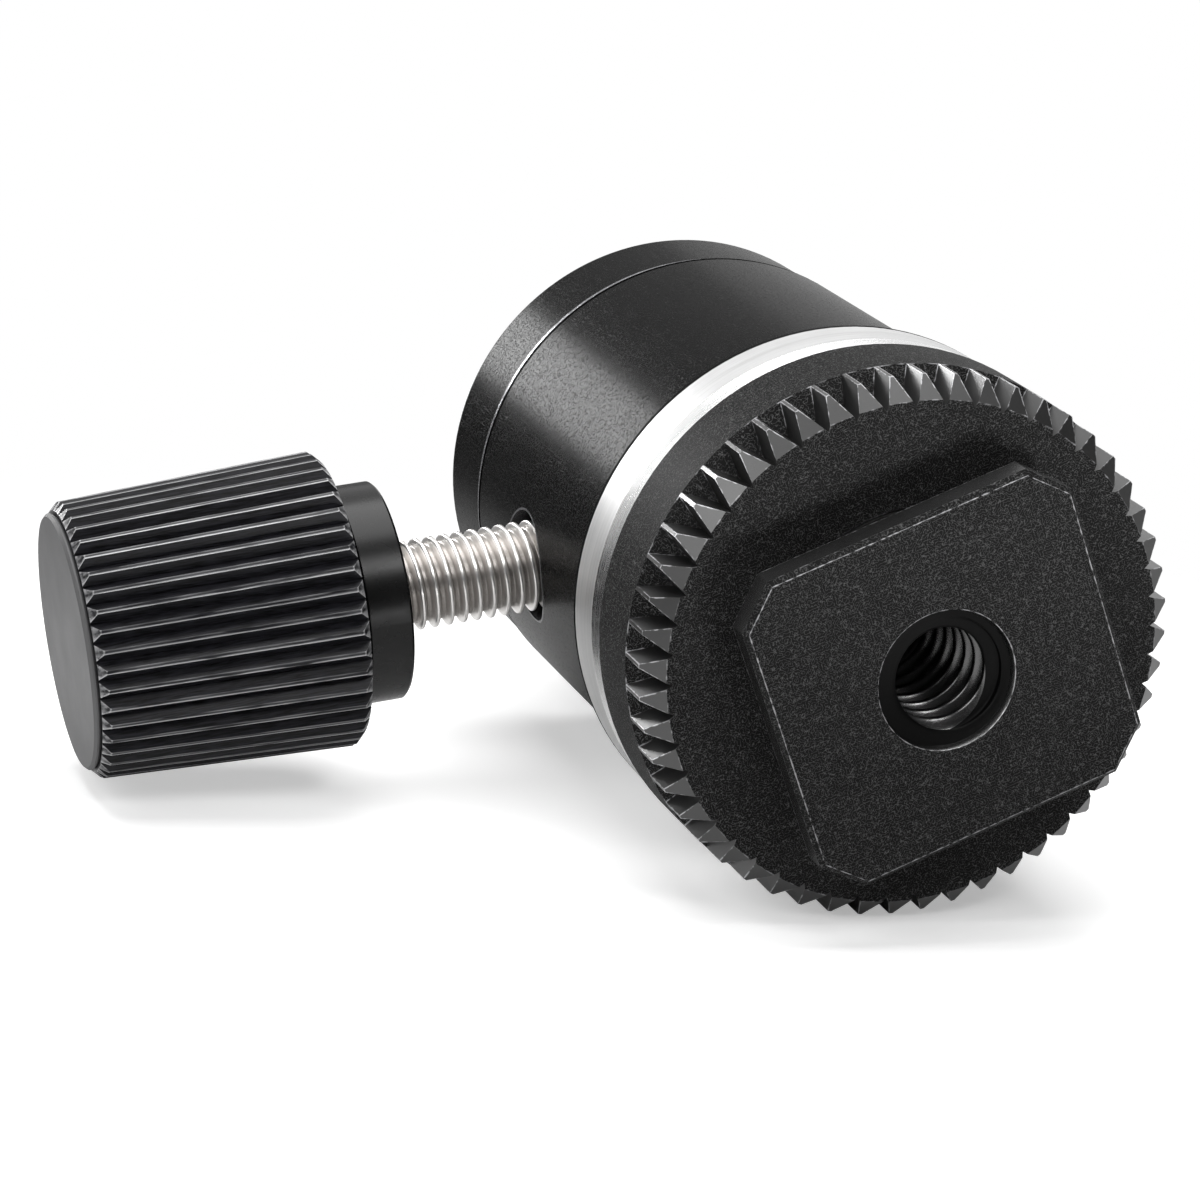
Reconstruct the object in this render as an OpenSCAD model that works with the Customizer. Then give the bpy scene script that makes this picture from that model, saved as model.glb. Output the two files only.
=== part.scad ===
// Hot shoe ball head, upright on its shoe foot.
// Origin: centre of the underside of the shoe plate, +Z towards the ball.

/* [Shoe foot] */
// Width of the shoe plate, across the shoe
plate_w = 18.3; // [16:0.1:18.6]
// Length of the shoe plate, along the shoe
plate_l = 17.4; // [15.4:0.1:18.6]
// Thickness of the shoe plate
plate_t = 1.7; // [1.4:0.1:2]
// Length cut from each side at the plate's corners
corner_cut = 2; // [1.4:0.1:3]
// Bevel round the underside of the plate
plate_bevel = 0.25; // [0.1:0.05:0.4]
// Diameter of the threaded stem that the wheel runs on
stem_d = 11; // [10.4:0.1:12]
// Width across the two flats of the stem
stem_flat_w = 9.8; // [9:0.1:10.2]
// Diameter of the spigot that screws into the housing floor
spigot_d = 8; // [7.4:0.1:9]
// Length of the spigot inside the housing floor
spigot_l = 4.8; // [3:0.1:5.4]
// Diameter of the tripod socket
socket_d = 6.4; // [6:0.05:6.6]
// Depth of the tripod socket
socket_depth = 11; // [8:0.5:12]
// Diameter of the plain hole through the plate, wider than the socket so that the thread starts behind it
lead_in_d = 7; // [6.9:0.05:7.3]
// Diameter of the countersink at the hole's mouth
countersink_d = 7.4; // [7:0.1:8.5]

/* [Lock wheel] */
// Gap between the plate and the wheel, open for the shoe rails
rail_gap = 2.5; // [2:0.1:3.5]
// Diameter of the wheel over its teeth
wheel_d = 28.9; // [26:0.1:32]
// Thickness of the wheel
wheel_t = 7.6; // [6:0.1:9]
// Number of teeth
teeth = 52; // [30:1:60]
// Length of the toothed band, from the front face
tooth_band_l = 3.2; // [2.6:0.1:4.5]
// Depth of the grooves between the teeth
tooth_depth = 1.4; // [0.8:0.05:1.6]
// Width of the flat left on each tooth
tooth_flat = 0.18; // [0.1:0.02:0.5]
// Slope of the groove's run-out, from the axis
tooth_runout = 46; // [30:1:60]
// Height of the bevel across the front of the teeth
tooth_bevel_h = 1.1; // [0.6:0.05:1.6]
// Width of that bevel
tooth_bevel_w = 1.1; // [0.5:0.05:1.3]

/* [Pressure washer] */
// Diameter of the keyed washer in the wheel's front face
washer_d = 15.6; // [13.5:0.1:17]
// Thickness of that washer
washer_t = 1; // [0.6:0.1:1.4]
// Height that it stands proud of the wheel
washer_proud = 0.2; // [0.1:0.05:0.4]

/* [Base ring] */
// Width by which the silver ring is set in from the wheel
ring_inset = 0.15; // [0.1:0.05:0.5]
// Height of the silver ring
ring_h = 4.65; // [3.5:0.05:6]
// Height of the polished bevel on its lower edge
ring_bevel_h = 1.5; // [0.8:0.1:2.4]
// Width of that bevel
ring_bevel_w = 0.3; // [0.2:0.05:0.8]
// Number of base screws
base_screws_n = 3; // [2:1:6]
// Distance of the base screws from the axis
base_screw_r = 9.4; // [8.6:0.1:10]
// Diameter of the base screws
base_screw_d = 2; // [1.6:0.1:2.5]
// Diameter of their heads
base_screw_head_d = 3.8; // [3:0.1:4.2]
// Length of the base screws
base_screw_l = 8.6; // [7:0.1:9.6]

/* [Housing] */
// Diameter of the housing
housing_d = 27; // [26:0.1:28.4]
// Height of the housing
housing_h = 20.4; // [19:0.1:23]
// Direction of the lock knob round the head, in degrees
knob_angle = 194.5; // [180:0.5:270]
// Depth of the knob's axis below the ball's centre
knob_drop = 10.75; // [10.6:0.05:11]
// Diameter of the plain mouth of the lock stud's hole
stud_mouth_d = 6.2; // [5.8:0.1:7]
// Depth of that mouth
stud_mouth_depth = 1.2; // [0.6:0.1:1.8]
// Bevel on the edges of the turned parts
edge_bevel = 0.15; // [0.1:0.05:0.3]

/* [Cap and seats] */
// Width by which the cap is set in from the housing
cap_inset = 0.15; // [0.1:0.05:0.4]
// Height of the cap above the housing
cap_h = 5.95; // [5.6:0.05:7]
// Width of the seams between the parts
seam = 0.1; // [0.05:0.05:0.2]
// Length of the cap's skirt inside the housing
skirt_l = 3; // [2:0.1:3.5]
// Thickness of that skirt
skirt_t = 0.85; // [0.6:0.05:1.1]
// Thickness of the cap's lip over the upper seat
lip_t = 1.4; // [1.2:0.1:1.7]
// Rounding of the cap's upper edge
cap_edge_r = 0.5; // [0.2:0.1:0.9]
// Height of the upper seat
upper_seat_h = 2.4; // [1.8:0.1:2.6]
// Width of the upper seat beside the ball
upper_seat_w = 1.3; // [1:0.1:1.5]
// Depth of the lower seat's upper edge below the ball's centre
lower_seat_drop = 3.85; // [3.6:0.05:4.4]
// Height of the lower seat
lower_seat_h = 3.4; // [2.8:0.1:3.4]
// Diameter of the clamp piston
piston_d = 16.7; // [16.2:0.1:17.2]
// Depth of the piston's underside below the knob's axis
piston_foot = 4.1; // [3.9:0.1:4.6]
// Room left under the piston and the lower seat
drop_room = 0.9; // [0.8:0.05:1.2]

/* [Ball and platform] */
// Diameter of the ball
ball_d = 18.6; // [18.2:0.1:18.8]
// Depth of the ball's centre below the cap's upper face
ball_sink = 4.3; // [4.1:0.1:4.6]
// Diameter of the ball's neck
neck_d = 7.4; // [6.6:0.1:8]
// Height of the neck's top above the ball's centre
neck_top = 11; // [10.8:0.1:12]
// Diameter of the camera screw's shank in the neck
shank_d = 4; // [3:0.1:4.6]
// Length of that shank
shank_l = 1.4; // [1:0.1:1.5]
// Diameter of the platform
platform_d = 16; // [14.6:0.1:18]
// Thickness of the platform
platform_t = 3.2; // [2.8:0.1:4]
// Thickness of the platform at its rim
platform_rim_t = 1.8; // [1.2:0.1:2.2]
// Thickness of the rubber pad
pad_t = 0.8; // [0.6:0.1:1.2]
// Depth of the recess that the pad sits in
pad_recess = 0.4; // [0.2:0.1:0.5]
// Width of the metal left round the pad
pad_rim = 0.5; // [0.4:0.1:1]
// Inner diameter of the pad
pad_hole_d = 7.8; // [7.2:0.1:8.4]
// Diameter of the camera screw's foot in the platform
screw_foot_d = 7; // [6.8:0.1:7.2]
// Diameter of the camera screw
screw_d = 6.35; // [6:0.05:6.4]
// Length of the camera screw above the pad
screw_l = 4.8; // [4:0.1:6]

/* [Lock knob] */
// Diameter of the lock stud
stud_d = 5; // [4.6:0.1:5.4]
// Length of the stud that shows between the housing and the knob
stud_shown = 8; // [4:0.1:11]
// Distance of the stud's inner end from the piston's bore
stud_inset = 0.5; // [0.45:0.05:0.7]
// Diameter of the knob's smooth collar
hub_d = 12; // [10.4:0.1:13]
// Length of the collar
hub_l = 2.85; // [2:0.05:4]
// Diameter of the collar's spigot inside the knob
hub_spigot_d = 8.6; // [8:0.1:9.4]
// Length of that spigot
hub_spigot_l = 5; // [3:0.1:6]
// Width of the groove between the collar and the knob
hub_groove_w = 0.35; // [0.2:0.05:0.5]
// Depth of that groove
hub_groove_depth = 0.5; // [0.3:0.1:0.8]
// Length of the knob with its end cap
knob_l = 14.85; // [13:0.05:18]
// Diameter of the knob at its inner end
knob_inner_d = 16.2; // [15.4:0.1:18]
// Diameter of the knob at its outer end
knob_outer_d = 15; // [14.8:0.1:17]
// Number of ribs on the knob
ribs = 44; // [24:1:60]
// Depth of the grooves between the ribs
rib_depth = 0.5; // [0.3:0.05:0.6]
// Width of the flat left on each rib
rib_flat = 0.16; // [0.08:0.02:0.4]
// Bevel at both ends of the ribs
knob_bevel = 0.4; // [0.2:0.05:0.6]
// Diameter of the end cap
end_cap_d = 13.9; // [12.6:0.1:14]
// Thickness of the end cap's disc
end_cap_t = 0.4; // [0.3:0.05:0.8]
// Diameter of the end cap's plug inside the knob
end_plug_d = 11.4; // [10.6:0.1:12]
// Length of that plug
end_plug_l = 1.2; // [0.8:0.1:1.8]
// Width of the nut across its flats
nut_w = 8; // [7.4:0.1:8.4]
// Thickness of the nut
nut_t = 3; // [2:0.1:4]

/* [Brake pin] */
// Diameter of the brake pin
pin_d = 4; // [3.6:0.1:4.4]
// Diameter of the pin's tip
pin_tip_d = 1; // [0.8:0.1:1.4]
// Distance of the pin's tip from the head's axis
pin_tip = 4.6; // [4.4:0.1:5]
// Rise of the pin's cone for each unit of its length
pin_slope = 0.5; // [0.45:0.05:0.55]

/* [Fits] */
// Radial clearance of parts that run on each other
run_gap = 0.06; // [0.04:0.01:0.1]
// Radial clearance of parts that are fixed together
fix_gap = 0.03; // [0.02:0.01:0.05]
// Gap between faces that turn on each other
face_gap = 0.05; // [0.03:0.01:0.1]
// Gap between moving faces that meet only when tightened
rest_gap = 0.3; // [0.25:0.01:0.35]
// Radial clearance of the housing's bore round the ball
ball_clearance = 0.4; // [0.35:0.01:0.5]

/* [Hidden] */
$fn = 96;

black = [0.08, 0.08, 0.085];
satin_black = [0.04, 0.04, 0.045];
silver = [0.75, 0.75, 0.77];
steel = [0.62, 0.61, 0.6];
grey = [0.25, 0.25, 0.27];
plastic = [0.85, 0.84, 0.8];
rubber = [0.06, 0.06, 0.06];

// Overshoot of a cut past the surface it opens
cut = 0.5;

// Heights above the underside of the shoe plate
wheel_z = plate_t + rail_gap;
ring_z = wheel_z + wheel_t + seam;
housing_z = ring_z + ring_h;
housing_top_z = housing_z + housing_h;
cap_z = housing_top_z + seam;
cap_top_z = cap_z + cap_h;
lip_z = cap_top_z - lip_t;
ball_z = cap_top_z - ball_sink;
knob_z = ball_z - knob_drop;
lower_seat_top_z = ball_z - lower_seat_drop;
lower_seat_z = lower_seat_top_z - lower_seat_h;
piston_z = knob_z - piston_foot;
floor_z = piston_z - drop_room;
step_z = lower_seat_z - drop_room;
neck_top_z = ball_z + neck_top;
platform_z = neck_top_z + face_gap;
platform_top_z = platform_z + platform_t;
pad_z = platform_top_z - pad_recess;
pad_top_z = pad_z + pad_t;

// Radii that several parts share
ball_r = ball_d / 2;
ball_room_r = ball_r + rest_gap;
bore_r = ball_r + ball_clearance;
piston_bore_r = piston_d / 2 + run_gap;
skirt_bore_r = ball_r + upper_seat_w + run_gap;
skirt_r = skirt_bore_r + skirt_t;

// Distances from the head's axis along the lock knob's axis
stud_inner = piston_bore_r + stud_inset;
hub_inner = housing_d / 2 + stud_shown;
knob_inner = hub_inner + hub_l;
knob_outer = knob_inner + knob_l;
knob_face = knob_outer - end_cap_t;
plug_floor = knob_face - end_plug_l;
nut_outer = plug_floor - rest_gap;
nut_inner = nut_outer - nut_t;
nut_corner_d = nut_w / cos(30);

// Places a shape drawn along +Z on the lock knob's axis, with z as the distance from the head's axis
module on_knob_axis() {
    translate([0, 0, knob_z])
        rotate([0, 90, knob_angle])
            children();
}

// Cylinder between two heights
module rod(r, z0, z1) {
    translate([0, 0, z0])
        cylinder(r = r, h = z1 - z0);
}

// Cone between two heights
module cone(r0, r1, z0, z1) {
    translate([0, 0, z0])
        cylinder(r1 = r0, r2 = r1, h = z1 - z0);
}

// Turned disc or ring between two heights, with both outer edges bevelled
module turned_ring(r_out, r_in, z0, z1, bevel) {
    rotate_extrude()
        polygon([[r_in, z0], [r_out - bevel, z0], [r_out, z0 + bevel],
            [r_out, z1 - bevel], [r_out - bevel, z1], [r_in, z1]]);
}

// Half section of a seat: a square ring with a spherical face round the ball
module seat(r_out, ball_face_r, z0, z1) {
    rotate_extrude()
        difference() {
            translate([0, z0])
                square([r_out, z1 - z0]);
            translate([0, ball_z])
                circle(r = ball_face_r);
        }
}

// Bar with both lower edges bevelled, long enough to cross the shoe plate
module plate_bar(half_w) {
    rotate([90, 0, 0])
        linear_extrude(height = 2 * (plate_w + plate_l), center = true)
            polygon([[plate_bevel - half_w, 0], [half_w - plate_bevel, 0], [half_w, plate_bevel],
                [half_w, plate_t], [-half_w, plate_t], [-half_w, plate_bevel]]);
}

// The shoe plate is where four bars cross: two give its sides and two cut its corners
module shoe_plate() {
    corner_half_w = ((plate_w + plate_l) / 2 - corner_cut) / sqrt(2);
    intersection() {
        plate_bar(plate_w / 2);
        rotate(90)
            plate_bar(plate_l / 2);
        rotate(45)
            plate_bar(corner_half_w);
        rotate(-45)
            plate_bar(corner_half_w);
    }
}

// Section of the stem, with a gap all round it
module stem_section(gap) {
    intersection() {
        circle(r = stem_d / 2 + gap);
        square([stem_flat_w + 2 * gap, 2 * stem_d], center = true);
    }
}

module shoe_foot() {
    flat_top_z = wheel_z + washer_t;
    color(black)
        difference() {
            union() {
                shoe_plate();
                linear_extrude(height = ring_z)
                    stem_section(0);
                rod(stem_d / 2, flat_top_z, ring_z);
                rod(spigot_d / 2, plate_t, housing_z + spigot_l);
            }
            rod(socket_d / 2, 0, socket_depth);
            rod(lead_in_d / 2, -cut, plate_t);
            cone(countersink_d / 2 + cut, lead_in_d / 2, -cut, (countersink_d - lead_in_d) / 2);
        }
}

// One groove of the wheel: a V that runs out at its back end
module tooth_groove() {
    r = wheel_d / 2;
    half_w = (PI * wheel_d / teeth - tooth_flat) / 2;
    over = 1 + cut / tooth_depth;
    runout = 1 / tan(tooth_runout);
    root = r - tooth_depth;
    intersection() {
        translate([0, 0, -cut])
            linear_extrude(height = tooth_band_l + 2 * cut)
                polygon([[root, 0], [r + cut, -half_w * over], [r + cut, half_w * over]]);
        rotate([90, 0, 0])
            linear_extrude(height = 4 * half_w, center = true)
                polygon([[root - cut, -cut], [r + cut, -cut], [r + cut, tooth_band_l + cut * runout],
                    [root - cut, tooth_band_l - (tooth_depth + cut) * runout]]);
    }
}

module lock_wheel() {
    r = wheel_d / 2;
    bore = stem_d / 2 + run_gap;
    color(black)
        translate([0, 0, wheel_z])
            difference() {
                rotate_extrude()
                    polygon([[bore, 0], [r - tooth_bevel_w, 0], [r, tooth_bevel_h],
                        [r, wheel_t - edge_bevel], [r - edge_bevel, wheel_t], [bore, wheel_t]]);
                for (i = [0 : teeth - 1])
                    rotate((i + 0.5) * 360 / teeth)
                        tooth_groove();
                rod(washer_d / 2 + run_gap, -cut, washer_t - washer_proud + face_gap);
            }
}

module pressure_washer() {
    color(steel)
        translate([0, 0, wheel_z - washer_proud])
            difference() {
                cylinder(d = washer_d, h = washer_t);
                translate([0, 0, -cut])
                    linear_extrude(height = washer_t + 2 * cut)
                        stem_section(run_gap);
            }
}

// Repeats a shape at the base screws
module at_base_screws() {
    for (i = [0 : base_screws_n - 1])
        rotate(i * 360 / base_screws_n)
            translate([base_screw_r, 0, 0])
                children();
}

// Base screw with its countersunk head, with a gap all round it
module base_screw(gap) {
    head_r = base_screw_head_d / 2 + gap;
    shaft_r = base_screw_d / 2 + gap;
    head_z = ring_z + face_gap;
    cone(head_r, shaft_r, head_z, head_z + head_r - shaft_r);
    rod(shaft_r, head_z, head_z + base_screw_l + gap);
}

module base_ring() {
    r = wheel_d / 2 - ring_inset;
    bore = spigot_d / 2 + fix_gap;
    color(silver)
        difference() {
            rotate_extrude()
                polygon([[bore, ring_z], [r - ring_bevel_w, ring_z], [r, ring_z + ring_bevel_h],
                    [r, housing_z - edge_bevel], [r - edge_bevel, housing_z], [bore, housing_z]]);
            at_base_screws() {
                base_screw(fix_gap);
                rod(base_screw_head_d / 2 + fix_gap, ring_z - cut, ring_z + face_gap);
            }
        }
}

module base_screws() {
    color(steel)
        at_base_screws()
            base_screw(0);
}

module housing() {
    r = housing_d / 2;
    skirt_room_z = cap_z - skirt_l - face_gap;
    skirt_room_r = skirt_r + fix_gap;
    color(black)
        difference() {
            turned_ring(r, 0, housing_z, housing_top_z, edge_bevel);
            rod(piston_bore_r, floor_z, step_z + cut);
            rod(bore_r, step_z, housing_top_z + cut);
            rod(skirt_room_r, skirt_room_z, housing_top_z + cut);
            rod(spigot_d / 2 + fix_gap, housing_z - cut, housing_z + spigot_l + face_gap);
            at_base_screws()
                base_screw(fix_gap);
            on_knob_axis() {
                rod(stud_d / 2 + run_gap, piston_bore_r - 2 * cut, r + cut);
                rod(stud_mouth_d / 2, r - stud_mouth_depth, r + cut);
            }
        }
}

module top_cap() {
    r = housing_d / 2 - cap_inset;
    lip_low_r = sqrt(pow(ball_room_r, 2) - pow(lip_z - ball_z, 2));
    lip_high_r = sqrt(pow(ball_room_r, 2) - pow(ball_sink, 2));
    color(black)
        rotate_extrude()
            difference() {
                polygon([[skirt_bore_r, cap_z - skirt_l], [skirt_r, cap_z - skirt_l], [skirt_r, cap_z],
                    [r - edge_bevel, cap_z], [r, cap_z + edge_bevel], [r, cap_top_z],
                    [lip_high_r, cap_top_z], [lip_low_r, lip_z], [skirt_bore_r, lip_z]]);
                translate([r - cap_edge_r, cap_top_z - cap_edge_r])
                    difference() {
                        square(cap_edge_r + cut);
                        circle(r = cap_edge_r);
                    }
            }
}

module upper_seat() {
    color(plastic)
        seat(skirt_bore_r - fix_gap, ball_r + run_gap, lip_z - upper_seat_h, lip_z);
}

module lower_seat() {
    color(plastic)
        seat(bore_r - run_gap, ball_room_r, lower_seat_z, lower_seat_top_z);
}

module clamp_piston() {
    // The notch is larger than the pin and lower, so that only its roof meets the pin's cone
    slack = 0.5;
    notch_in = pin_tip - 0.7;
    notch_out = piston_d / 2 + cut;
    notch_r = pin_tip_d / 2 + rest_gap + slack - pin_slope * pin_tip;
    color(steel)
        difference() {
            rod(piston_d / 2, piston_z, lower_seat_z);
            translate([0, 0, ball_z])
                sphere(r = ball_room_r + rest_gap);
            on_knob_axis()
                translate([slack, 0, 0])
                    cone(notch_r + pin_slope * notch_in, notch_r + pin_slope * notch_out, notch_in, notch_out);
        }
}

module ball() {
    color(silver)
        translate([0, 0, ball_z])
            sphere(r = ball_r);
}

module ball_stem() {
    r = neck_d / 2;
    color(silver)
        difference() {
            turned_ring(r, 0, ball_z, neck_top_z, edge_bevel);
            translate([0, 0, ball_z])
                sphere(r = ball_r + run_gap);
            rod(shank_d / 2 + run_gap, neck_top_z - shank_l - face_gap, neck_top_z + cut);
        }
}

module platform() {
    r = platform_d / 2;
    bore = screw_foot_d / 2 + fix_gap;
    rim_z = platform_top_z - platform_rim_t;
    color(black)
        rotate_extrude()
            polygon([[bore, platform_z], [neck_d / 2, platform_z], [r - edge_bevel, rim_z],
                [r, rim_z + edge_bevel], [r, platform_top_z - edge_bevel], [r - edge_bevel, platform_top_z],
                [r - pad_rim, platform_top_z], [r - pad_rim, pad_z], [bore, pad_z]]);
}

module platform_pad() {
    r = platform_d / 2 - pad_rim - fix_gap;
    color(rubber)
        turned_ring(r, pad_hole_d / 2, pad_z, pad_top_z, edge_bevel);
}

module camera_screw() {
    shank_r = shank_d / 2;
    foot_r = screw_foot_d / 2;
    r = screw_d / 2;
    shank_z = neck_top_z - shank_l;
    top_z = pad_top_z + screw_l;
    tip = 0.6;
    color(steel)
        rotate_extrude()
            polygon([[0, shank_z], [shank_r, shank_z], [shank_r, platform_z], [foot_r, platform_z],
                [foot_r, pad_top_z], [r, pad_top_z], [r, top_z - tip], [r - tip, top_z], [0, top_z]]);
}

module brake_pin() {
    r = pin_d / 2;
    tip_r = pin_tip_d / 2;
    taper_out = pin_tip + (r - tip_r) / pin_slope;
    outer = stud_inner - face_gap;
    color(steel)
        on_knob_axis()
            rotate_extrude()
                polygon([[0, pin_tip], [tip_r, pin_tip], [r, taper_out], [r, outer], [0, outer]]);
}

module lock_stud() {
    color(steel)
        on_knob_axis()
            rod(stud_d / 2, stud_inner, nut_outer);
}

module knob_hub() {
    r = hub_d / 2;
    bore = stud_d / 2 + fix_gap;
    spigot_r = hub_spigot_d / 2;
    groove_r = r - hub_groove_depth;
    groove_at = knob_inner - hub_groove_w;
    spigot_end = knob_inner + hub_spigot_l;
    color(satin_black)
        on_knob_axis()
            rotate_extrude()
                polygon([[bore, hub_inner], [r - edge_bevel, hub_inner], [r, hub_inner + edge_bevel],
                    [r, groove_at - edge_bevel], [r - edge_bevel, groove_at], [groove_r, groove_at],
                    [groove_r, knob_inner], [spigot_r, knob_inner], [spigot_r, spigot_end], [bore, spigot_end]]);
}

// One groove of the knob: a V that follows the knob's taper
module rib_groove() {
    r0 = knob_inner_d / 2;
    r1 = knob_outer_d / 2;
    length = knob_face - knob_inner;
    half_w = (PI * knob_outer_d / ribs - rib_flat) / 2;
    over = 1 + cut / rib_depth;
    taper = atan((r0 - r1) / length);
    translate([r0 - rib_depth, 0, knob_inner])
        rotate([0, -taper, 0])
            translate([0, 0, -2 * cut])
                linear_extrude(height = length + 4 * cut)
                    polygon([[0, 0], [rib_depth * over, -half_w * over], [rib_depth * over, half_w * over]]);
}

module knob_body() {
    r0 = knob_inner_d / 2;
    r1 = knob_outer_d / 2;
    color(black)
        on_knob_axis()
            difference() {
                rotate_extrude()
                    polygon([[0, knob_inner], [r0 - knob_bevel, knob_inner], [r0, knob_inner + knob_bevel],
                        [r1, knob_face - knob_bevel], [r1 - knob_bevel, knob_face], [0, knob_face]]);
                for (i = [0 : ribs - 1])
                    rotate(i * 360 / ribs)
                        rib_groove();
                rod(stud_d / 2 + fix_gap, knob_inner - cut, nut_inner + cut);
                rod(hub_spigot_d / 2 + fix_gap, knob_inner - cut, knob_inner + hub_spigot_l + face_gap);
                rod(nut_corner_d / 2 + fix_gap, nut_inner, plug_floor);
                rod(end_plug_d / 2 + fix_gap, plug_floor, knob_face + cut);
            }
}

module knob_nut() {
    color(steel)
        on_knob_axis()
            difference() {
                translate([0, 0, nut_inner])
                    cylinder(d = nut_corner_d, h = nut_t, $fn = 6);
                rod(stud_d / 2 + fix_gap, nut_inner - cut, nut_outer + cut);
            }
}

module knob_end_cap() {
    r = end_cap_d / 2;
    plug_r = end_plug_d / 2;
    color(grey)
        on_knob_axis()
            rotate_extrude()
                polygon([[0, plug_floor], [plug_r, plug_floor], [plug_r, knob_face], [r - edge_bevel, knob_face],
                    [r, knob_face + edge_bevel], [r, knob_outer - edge_bevel], [r - edge_bevel, knob_outer],
                    [0, knob_outer]]);
}

shoe_foot();
lock_wheel();
pressure_washer();
base_ring();
base_screws();
housing();
top_cap();
upper_seat();
lower_seat();
clamp_piston();
ball();
ball_stem();
platform();
platform_pad();
camera_screw();
brake_pin();
lock_stud();
knob_hub();
knob_body();
knob_nut();
knob_end_cap();
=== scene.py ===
"""Looks of the hot shoe ball head: finishes, threads, teeth, ribs, worn edges, floor, lamps and camera.

Shapes are worked out in millimetres, as in the CAD model, and become metres where a mesh is made.
"""
import math

import bmesh
import bpy
import numpy as np
from mathutils import Euler, Matrix, Vector


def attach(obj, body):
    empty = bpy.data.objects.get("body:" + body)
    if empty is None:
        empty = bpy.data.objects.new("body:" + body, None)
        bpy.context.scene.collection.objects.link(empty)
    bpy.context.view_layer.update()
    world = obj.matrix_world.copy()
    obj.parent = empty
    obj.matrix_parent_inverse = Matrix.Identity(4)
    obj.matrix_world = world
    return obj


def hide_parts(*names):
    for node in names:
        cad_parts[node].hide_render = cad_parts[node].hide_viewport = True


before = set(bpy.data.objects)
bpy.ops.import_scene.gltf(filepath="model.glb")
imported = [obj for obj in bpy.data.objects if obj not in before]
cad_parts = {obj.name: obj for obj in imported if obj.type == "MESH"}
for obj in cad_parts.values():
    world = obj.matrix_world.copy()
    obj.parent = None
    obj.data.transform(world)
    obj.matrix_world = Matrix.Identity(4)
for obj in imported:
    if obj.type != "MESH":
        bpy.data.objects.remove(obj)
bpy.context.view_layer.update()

MM = 0.001
TURN = 2 * math.pi

# Shoe foot
plate_half_w = 9.15
plate_half_l = 8.7
plate_t = 1.7
plate_bevel = 0.25
corner_cut = 2.0
stem_r = 5.5
stem_half_flat = 4.9
stem_flat_top_z = 5.2
shoulder_z = 11.9
spigot_r = 4.0
spigot_top_z = 21.35
spigot_bevel = 0.3
countersink_r = 3.7
side_steps = 30

# Socket: its mouth, the heights over which it narrows and its thread grows, and the height of its start that
# gets a dull, darker finish as painted shade
mouth_r = 3.55
mouth_z = 0.4
mouth_taper_h = 0.2
thread_growth_h = 0.3
shaded_mouth_h = 0.75
thread_fade_z = 9.8
socket_end_z = 11.0
socket_rows = 36

# Camera thread, 1/4 inch with 20 turns an inch
coarse_pitch = 1.27
coarse_major_r = 3.175
coarse_minor_r = 2.5

# Lock wheel, with heights from the underside of the shoe plate
wheel_z = 4.2
wheel_top_z = 11.8
wheel_r = 14.45
wheel_bore_r = 5.56
washer_room_r = 7.86
washer_room_z = 5.05
teeth = 52
tooth_back_z = 7.4
tooth_depth = 1.4
tooth_flat = 0.18
tooth_runout = 46
tooth_bevel_h = 1.1
tooth_bevel_w = 1.1
edge_bevel = 0.15

# Silver ring and housing
ring_z = 11.9
ring_bevel_top_z = 13.4
housing_z = 16.55
housing_r = 13.5
housing_top_z = 36.95
cap_z = 37.05
stud_mouth_r = 3.1

# Lock knob, with distances from the head's axis along the knob's
knob_angle = math.radians(194.5)
knob_out = (math.cos(knob_angle), math.sin(knob_angle), 0)
knob_z = 27.95
stud_inner = 8.91
stud_outer = 37.3
stud_r = 2.5
stud_pitch = 0.8
stud_depth = 0.43
knob_inner = 24.35
knob_face = 38.8
knob_inner_r = 8.1
knob_outer_r = 7.5
knob_bevel = 0.4
ribs = 44
rib_depth = 0.5
rib_flat = 0.16
hub_room_r = 4.33
hub_room_end = 29.4
stud_room_r = 2.53
nut_room_r = 4.65
nut_inner = 34.3
plug_room_r = 5.73
plug_floor = 37.6

# Camera screw and pad
shank_r = 2.0
shank_z = 45.7
screw_foot_z = 49.75
screw_foot_r = 3.5
screw_top_z = 58.15
screw_end_h = 0.2
screw_end_w = 0.3
pad_hole_r = 3.9
pad_r = 7.47
pad_z = 52.55
pad_top_z = 53.35
pad_lip = 0.2
pad_groove = 0.12
pad_grooves = 6

# Turned threads: the plain length at their ends and the rows that make one pitch
plain_end = 0.05
rod_rows = 24

# Width of the worn line along an edge
worn_w = 0.08

# Joints between pieces: how far below an edge its painted dark shadow and its turn inwards start, how far the
# bump lifts it there, and the soft width of each line
joint_shadow_h = 0.26
turn_in_h = 0.3
turn_in = 0.36
line_soft = 0.04


# Shapes


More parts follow.
